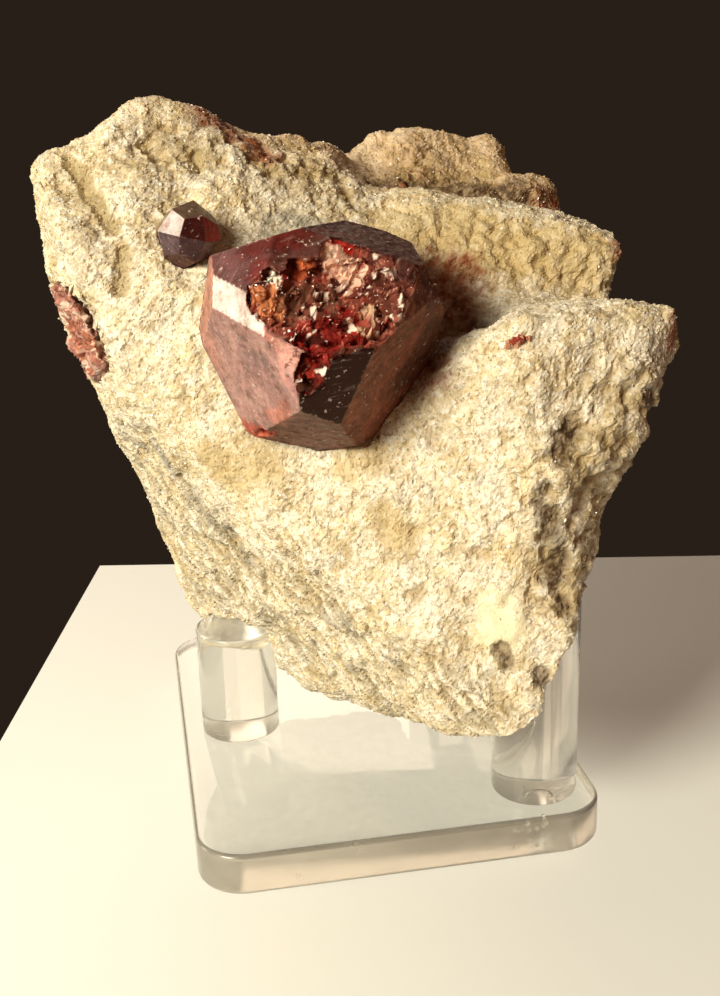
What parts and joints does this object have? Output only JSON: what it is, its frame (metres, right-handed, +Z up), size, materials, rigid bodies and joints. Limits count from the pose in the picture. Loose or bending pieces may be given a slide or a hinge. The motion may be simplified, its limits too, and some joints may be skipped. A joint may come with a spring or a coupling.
{
  "type": "garnet in matrix on a display stand",
  "caption": "Garnet crystals in a wedge-shaped block of pale quartz-feldspar matrix, resting on the round pegs of a clear acrylic display stand.",
  "frame": {"origin": "middle of the base plate's underside, where the stand meets the shelf", "axes": "+X to the right along the plate's front edge, +Y to the back, +Z up"},
  "size_m": [0.0881, 0.0809, 0.1065],
  "materials": {
    "clear_acrylic": "clear and polished, with fine scratches and small glue bubbles",
    "pale_matrix": "rough sugary break with mica glints, ochre and red-brown stains",
    "garnet": "glossy striated crystal faces, hackly where broken"
  },
  "bodies": {
    "root": {"base_plate": "clear_acrylic", "short_peg": "clear_acrylic", "front_tall_peg": "clear_acrylic", "back_tall_peg": "clear_acrylic", "matrix_rock": "pale_matrix", "large_garnet": "garnet", "small_garnet": "garnet", "edge_garnet": "garnet"}
  },
  "joints": []
}
